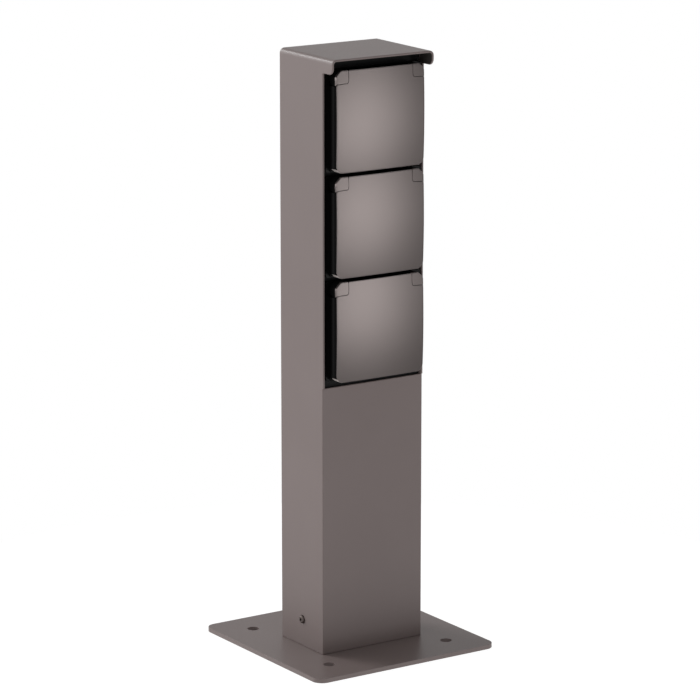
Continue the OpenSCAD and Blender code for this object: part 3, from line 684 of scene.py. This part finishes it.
# %% Lid seals
seal_low, seal_high = corners("lid_seal_1")
SEAL_WALL, SEAL_ROUND = 1.8, 0.7
alone()
bpy.ops.mesh.primitive_plane_add(size=1, location=((seal_high.x - SEAL_WALL / 2) * MM,
                                                   (seal_low.y + seal_high.y) / 2 * MM, middle.z * MM))
bpy.context.object.scale = (SEAL_WALL * MM, (seal_high.y - seal_low.y) * MM, 1)
seal = settle("lid_1_seal")
pick(seal, "VERT", lambda p: p.y > seal_low.y + 0.5)
bpy.ops.mesh.bevel(offset=SEAL_ROUND * MM, segments=4, affect="VERTICES")
pick(seal, "FACE", lambda c, n: True)
bpy.ops.mesh.delete(type="ONLY_FACE")
pick(seal, "EDGE", lambda a, b: True)
bpy.ops.mesh.spin(steps=96, angle=2 * math.pi, center=Vector((0, 0, middle.z)) * MM, axis=(0, 1, 0))
bpy.ops.mesh.select_all(action="SELECT")
bpy.ops.mesh.remove_doubles(threshold=0.01 * MM)
bpy.ops.mesh.normals_make_consistent(inside=False)
hand_over_three(seal, "lid_{}_seal", "lid_{}", seal_rubber, "rubber", "lid_seal_{}")

# %% [markdown]
# ## Hinge pins and closing springs
# A steel pin joins the corners, and a spring of six curls sits on its middle and pushes the lid shut.
# The Screw modifier sweeps a ring of wire round the pin; its two end rings are then extruded into the
# legs, one behind the lid's heel and one against the trough.

# %% Hinge pins
HINGE_PIN_R, PIN_EDGE = 0.8, 0.2
pin = rod("hinge_1_pin", "X", AXIS, HINGE_PIN_R, pin_high.x - pin_low.x, 32)
pick(pin, "EDGE", lambda a, b: near(a.x, b.x) and near(abs(a.x), pin_high.x))
bpy.ops.mesh.bevel(offset=PIN_EDGE * MM, segments=2, affect="EDGES")
hand_over_three(pin, "hinge_{}_pin", "post", spring_steel, "spring_steel", "hinge_pin_{}")

# %% Closing springs
COIL_R, WIRE_R, CURLS, LEG = 1.25, 0.25, 6, 3
START, STOP = math.radians(166), math.radians(270 + 360 * CURLS)
half = (STOP - START) / (4 * math.pi)
coil_start = (-half, COIL_R * math.cos(START), COIL_R * math.sin(START))
alone()
bpy.ops.mesh.primitive_circle_add(vertices=10, radius=WIRE_R * MM, rotation=(START, 0, 0),
                                  location=Vector(coil_start) * MM)
spring = settle("hinge_1_spring")
modify(spring, "SCREW", axis="X", angle=STOP - START, screw_offset=2 * half * MM, steps=150,
       render_steps=150, use_merge_vertices=False, use_smooth_shade=True)
spring.location = AXIS * MM
settle("hinge_1_spring")
ends = [min((v.co for v in spring.data.vertices), key=lambda c: side * c.x) / MM for side in (1, -1)]
print("spring ends at", [[round(c, 2) for c in e - AXIS] for e in ends])

# %% Spring legs
foot = math.sqrt(trough_r ** 2 - (COIL_R + WIRE_R) ** 2) - GAP
legs = ((coil_start, (0, LEG * math.sin(START), -LEG * math.cos(START))),
        ((half, 0, -COIL_R), (0, foot, 0)))
for root, reach in legs:
    centre = Vector(root) + AXIS
    pick(spring, "EDGE", lambda a, b: max((a - centre).length, (b - centre).length) < WIRE_R + 0.03)
    bpy.ops.mesh.extrude_region_move(TRANSFORM_OT_translate={"value": Vector(reach) * MM})
    bpy.ops.mesh.edge_face_add()
pick(spring, "FACE", lambda c, n: True)
bpy.ops.mesh.normals_make_consistent(inside=False)
hand_over_three(spring, "hinge_{}_spring", "post", spring_steel, "spring_steel", "lid_spring_{}")

# %% [markdown]
# ## Screws
# A button-head screw with a hexagon socket holds the post to its foot on each side. A rod is rounded at
# its rim for the head, a thinner one is joined to it as the shank, and a six-sided rod cuts the socket.
# The frames are held by small slotted screws; one is modelled and copies go to the other places.

# %% Side screws
HEX, BUTTON_T, BUTTON_R, BUTTON_ROUND, SHANK_R, LENGTH = 2.0, 1.4, 2.7, 1.1, 2.5, 9.0
buttons = []
for side in (-1, 1):
    rim = side * (WALL_X + BUTTON_T)
    head_x = rim - side * BUTTON_T / 2
    button = rod("side_screw_pair", "X", (head_x, screw_mid.y, screw_mid.z), BUTTON_R, BUTTON_T, 48)
    pick(button, "EDGE", lambda a, b: near(a.x, rim) and near(b.x, rim))
    bpy.ops.mesh.bevel(offset=BUTTON_ROUND * MM, segments=6, affect="EDGES")
    shank_x = side * (WALL_X + 0.5 - LENGTH / 2)
    combine(button, rod("shank", "X", (shank_x, screw_mid.y, screw_mid.z), SHANK_R, LENGTH, 48), "UNION")
    socket = rod("hexagon", "X", (rim, screw_mid.y, screw_mid.z), HEX / math.sqrt(3), 2 * BUTTON_T, 6)
    combine(button, socket, "DIFFERENCE")
    buttons.append(button)
pair = join(buttons)
soften(pair, 0.08, 2)
hand_over(pair, "post", screw_steel, "screw_steel", "side_screws")

# %% Frame screws
HEAD_R, HEAD_T, HEAD_ROUND, FIXING_R, SLOT_WIDE = 2.8, 1.4, 0.6, 1.45, 0.8
screw_z, head_mid = screw_rows[0], insert_low.y + HEAD_T / 2
screw = rod("frame_screw_set", "Y", (SCREW_X, head_mid, screw_z), HEAD_R, HEAD_T, 40)
pick(screw, "EDGE", lambda a, b: near(a.y, insert_low.y) and near(b.y, insert_low.y))
bpy.ops.mesh.bevel(offset=HEAD_ROUND * MM, segments=4, affect="EDGES")
shank_y = (insert_low.y + 1, corners("frame_screws")[1].y)
shank = rod("shank", "Y", (SCREW_X, sum(shank_y) / 2, screw_z), FIXING_R, shank_y[1] - shank_y[0], 24)
combine(screw, shank, "UNION")
slot = block("slot", (SCREW_X - 4, insert_low.y - 1, screw_z - SLOT_WIDE / 2),
             (SCREW_X + 4, head_mid, screw_z + SLOT_WIDE / 2))
combine(screw, slot, "DIFFERENCE")
soften(screw, 0.08, 2)
spares = []
for n in (1, 2, 3):
    for side in (-1, 1):
        for z in screw_rows:
            drop, across = PITCH * (n - 1) - (z - screw_z), (side - 1) * SCREW_X
            if drop or across:
                copy_down(screw, "spare", drop)
                bpy.ops.transform.translate(value=(across * MM, 0, 0))
                spares.append(settle("spare"))
screw = join([screw] + spares)
hand_over(screw, "post", screw_steel, "screw_steel", "frame_screws")

# %% [markdown]
# ## Conductors
# Inside the post, three insulated conductors leave their terminals, climb the rear wall and dip to each
# socket's contacts. Each is a curve with a round bevel, made a mesh at the end.

# %% Conductors
LOW_Z, LANE_Y, RISER_Y, TOUCH_Y, BEND_MM, DIP = 132.0, 27.5, 42.6, 35.8, 28.0, 7.0
SLEEVE_R, STRAIGHT, STEPS = 1.4, 6, 120
centres = [middle.z - PITCH * n for n in range(3)]


def conductor_y(z, tail):
    """Depth behind the front: out of the terminal, back to the wall, and forward at each contact."""
    t = max(0, min(1, (z - LOW_Z - STRAIGHT) / BEND_MM))
    dip = max(math.exp(-((z - c - tail) / DIP) ** 2) for c in centres)
    return LANE_Y + (RISER_Y - LANE_Y) * t * t * (3 - 2 * t) - (RISER_Y - TOUCH_Y) * dip


for lane, colour, x, tail in (("live", "brown", -PIN_X, 0), ("earth", "green", 0, -EARTH_Z),
                              ("neutral", "blue", PIN_X, 0)):
    line = bpy.data.curves.new("conductor_" + lane, "CURVE")
    line.dimensions, line.use_fill_caps = "3D", True
    line.bevel_depth, line.bevel_resolution = SLEEVE_R * MM, 4
    run = line.splines.new("POLY")
    run.points.add(STEPS)
    for i, point in enumerate(run.points):
        z = LOW_Z + (centres[0] + tail - LOW_Z) * i / STEPS
        point.co = (x * MM, (FRONT + conductor_y(z, tail)) * MM, z * MM, 1)
    wire = bpy.data.objects.new("conductor_" + lane, line)
    bpy.context.scene.collection.objects.link(wire)
    alone(wire)
    bpy.ops.object.convert(target="MESH")
    hand_over(wire, "post", sleeved[lane], "wire_" + colour, "wire_" + lane)

# %% [markdown]
# ## Solids that stay
# What is left is plain inside the real post too: the foot bracket, the grommet, the carrier, the rail
# with its terminals, and the contacts. These solids are kept and only painted.

# %% Painting the solids that stay
kept = {"foot_bracket": zinc_steel, "mounting_rail": zinc_steel, "earth_stud": turned_brass,
        "cable_grommet": seal_rubber, "socket_carrier": black_coat,
        **{"terminal_" + lane: paint for lane, paint in moulded.items()}}
for n in (1, 2, 3):
    kept.update({f"contact_block_{n}": black_gloss, f"earth_strap_{n}": spring_steel,
                 f"contact_sleeves_{n}": turned_brass})
for name, paint in kept.items():
    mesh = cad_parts[name].data
    mesh.materials.clear()
    mesh.materials.append(paint)
print("kept solids:", len(kept))

# %% [markdown]
# ## Floor, background and light
# The picture has a white ground. The post stands on a round white table that glows like a light table,
# and beyond it is a white room. To the camera both are white, but they give the post less light than
# that: the room's lower half gives about as much as the table, its upper half is dimmer, and mirrors
# see it as a pale grey wall. The table still takes the soft shadow of the post. Under the plate it glows
# far less, as painted shade that keeps the anchor holes dark.

# %% Floor and world
TABLE_R, UNDER_R, BELOW = 0.35, 0.0715, 0.1 * MM
scene = bpy.context.scene
scene.view_settings.view_transform = "Standard"
alone()
bpy.ops.mesh.primitive_circle_add(vertices=128, radius=TABLE_R, fill_type="NGON", location=(0, 0, -BELOW))
floor = settle("floor")
floor.visible_shadow = False
floor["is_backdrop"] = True
# Under the plate the table glows far less: painted shade that keeps the anchor holes dark.
for name, seen_at, lights_at in (("glowing_white_table", 0.95, 0.62),
                                 ("table_painted_shade_under_plate", 0.15, 0.15)):
    paper = bpy.data.materials.new(name)
    paper.use_nodes = True
    tree = paper.node_tree
    tree.nodes.clear()
    matt = add(tree, "BsdfDiffuse", {"Color": linear("808080")})
    to_camera = add(tree, "LightPath", {}).outputs["Is Camera Ray"]
    strength = add(tree, "MapRange", {"Value": to_camera, "To Min": lights_at, "To Max": seen_at})
    glow = add(tree, "Emission", {"Color": (1, 1, 1, 1), "Strength": strength.outputs["Result"]})
    both = add(tree, "AddShader", {0: matt.outputs[0], 1: glow.outputs[0]})
    add(tree, "OutputMaterial", {"Surface": both.outputs[0]})
    floor.data.materials.append(paper)
pick(floor, "FACE", lambda c, n: True)
bpy.ops.mesh.inset(thickness=TABLE_R - UNDER_R)
floor.active_material_index = 1
bpy.ops.object.material_slot_assign()
alone(floor)
print("table:", 2 * TABLE_R, "m across")

# %% White room
LOWER, UPPER, MIRRORED = 0.79, 0.3, 0.6
world = bpy.data.worlds.new("white_room")
scene.world = world
world.use_nodes = True
tree = world.node_tree
tree.nodes.clear()
path = add(tree, "LightPath", {}).outputs
seen = add(tree, "Math", {0: path["Is Camera Ray"], 1: path["Is Transmission Ray"]}, operation="MAXIMUM")
way = add(tree, "SeparateXYZ", {"Vector": add(tree, "TexCoord", {}).outputs["Generated"]})
mirrored = add(tree, "Math", {0: path["Is Glossy Ray"], 1: MIRRORED}, operation="MULTIPLY")
seen = add(tree, "Math", {0: seen.outputs[0], 1: mirrored.outputs[0]}, operation="MAXIMUM")
shade = add(tree, "MapRange", {"Value": way.outputs["Z"], "From Min": -0.05, "From Max": 0.05,
                               "To Min": LOWER, "To Max": UPPER})
level = add(tree, "Math", {0: seen.outputs[0], 1: shade.outputs["Result"]}, operation="MAXIMUM")
room = add(tree, "Background", {"Color": (1, 1, 1, 1), "Strength": level.outputs[0]})
add(tree, "OutputWorld", {"Surface": room.outputs[0]})
print("room:", LOWER, "below,", UPPER, "above")

# %% [markdown]
# Two large soft boxes behind and to the left of the post light its roof and side and leave the front in
# soft shade; the higher one also draws the bright line along the bend. An oval lamp far off, low on the
# right, is there for the lids: it mirrors in their crown as the soft patch that fades to the edges. A
# dark card behind it keeps the white room out of that mirror, as a photographer's flag does. None of
# them is seen by the camera.

# %% Lamps
def soft_box(name, place, aim, wide, tall, watts):
    """A round or oval lamp that looks at a point, in metres."""
    lamp = bpy.data.lights.new(name, "AREA")
    lamp.shape, lamp.size, lamp.size_y, lamp.energy = "ELLIPSE", wide, tall, watts
    lit = bpy.data.objects.new(name, lamp)
    scene.collection.objects.link(lit)
    lit.location = place
    lit.rotation_euler = (Vector(aim) - Vector(place)).to_track_quat("-Z", "Y").to_euler()
    lit.visible_camera = False


soft_box("top_soft_box", (-1.13, 2.32, 1.7), (0, 0, 0.2), 1.25, 1.25, 31)
soft_box("side_soft_box", (-2.08, 2.08, 0.8), (0, 0, 0.2), 1.6, 1.6, 18)
LAMP_FAR = 5
turn, dip = math.radians(30.6), math.radians(8.9)
glint_way = Vector((math.sin(turn) * math.cos(dip), -math.cos(turn) * math.cos(dip), -math.sin(dip)))
lids_middle = Vector((0, middle.y, middle.z - PITCH)) * MM
soft_box("lid_lamp", lids_middle + LAMP_FAR * glint_way, lids_middle, 1.0, 1.3, 11.7)

# %% Dark card
CARD_FAR, CARD_WIDE = 5.2, 5.4
alone()
bpy.ops.mesh.primitive_plane_add(size=CARD_WIDE, location=lids_middle + CARD_FAR * glint_way,
                                 rotation=glint_way.to_track_quat("Z", "Y").to_euler())
flag = settle("dark_card")
flag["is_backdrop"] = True
flag.visible_camera = flag.visible_diffuse = flag.visible_shadow = False
felt = bpy.data.materials.new("black_felt")
felt.use_nodes = True
felt.node_tree.nodes.clear()
dark = add(felt.node_tree, "BsdfDiffuse", {"Color": linear("0a0a0a")})
add(felt.node_tree, "OutputMaterial", {"Surface": dark.outputs[0]})
flag.data.materials.append(felt)
print("card:", flag.name, "of", CARD_WIDE, "m")

# %% [markdown]
# ## Size
# The box of the finished model and the box of the measured solids are both written down. The finished
# model has to stay inside the box of the measured solids.

# %% Size of the finished model
new_low, new_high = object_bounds()
for name, size in (("model", new_high - new_low), ("solids", cad_high - cad_low)):
    print(name, "size:", [round(c / MM, 2) for c in size], "mm")
